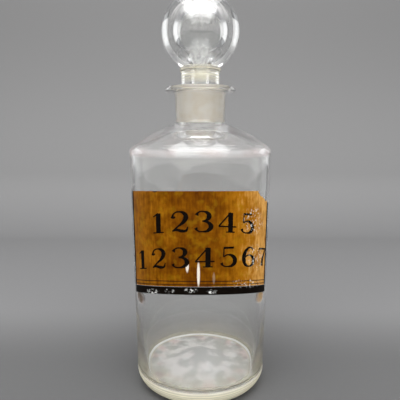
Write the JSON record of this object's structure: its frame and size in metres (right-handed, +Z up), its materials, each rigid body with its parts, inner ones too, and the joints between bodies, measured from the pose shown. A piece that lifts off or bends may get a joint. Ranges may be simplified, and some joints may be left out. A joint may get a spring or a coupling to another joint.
{
  "type": "glass-stoppered apothecary bottle",
  "caption": "Tall round blown-glass shop bottle with a sloping shoulder, flanged lip, hollow ball stopper in a ground neck, and a painted gilt label band.",
  "frame": {"origin": "middle of the flat ring that the bottle stands on", "axes": "+Z up along the bottle's axis, -Y towards the middle of the label, +X to the label reader's right"},
  "size_m": [0.0884, 0.0887, 0.2465],
  "materials": {
    "vessel_glass": "clear, faintly grey-green, with a ground bore",
    "stopper_glass": "clear ball, ground frosted plug",
    "label_gilt": "worn gilt and amber lacquer paint",
    "label_black": "worn black paint"
  },
  "bodies": {
    "bottle": {"vessel": "vessel_glass", "label_field": "label_gilt", "label_band": "label_black", "label_side_left": "label_black", "label_side_right": "label_black"},
    "stopper": {"stopper": "stopper_glass"}
  },
  "joints": [
    {"name": "stopper_lift", "type": "slide", "parent": "bottle", "child": "stopper", "axis": [0, 0, 1], "range_m": [0, 0.06]}
  ]
}
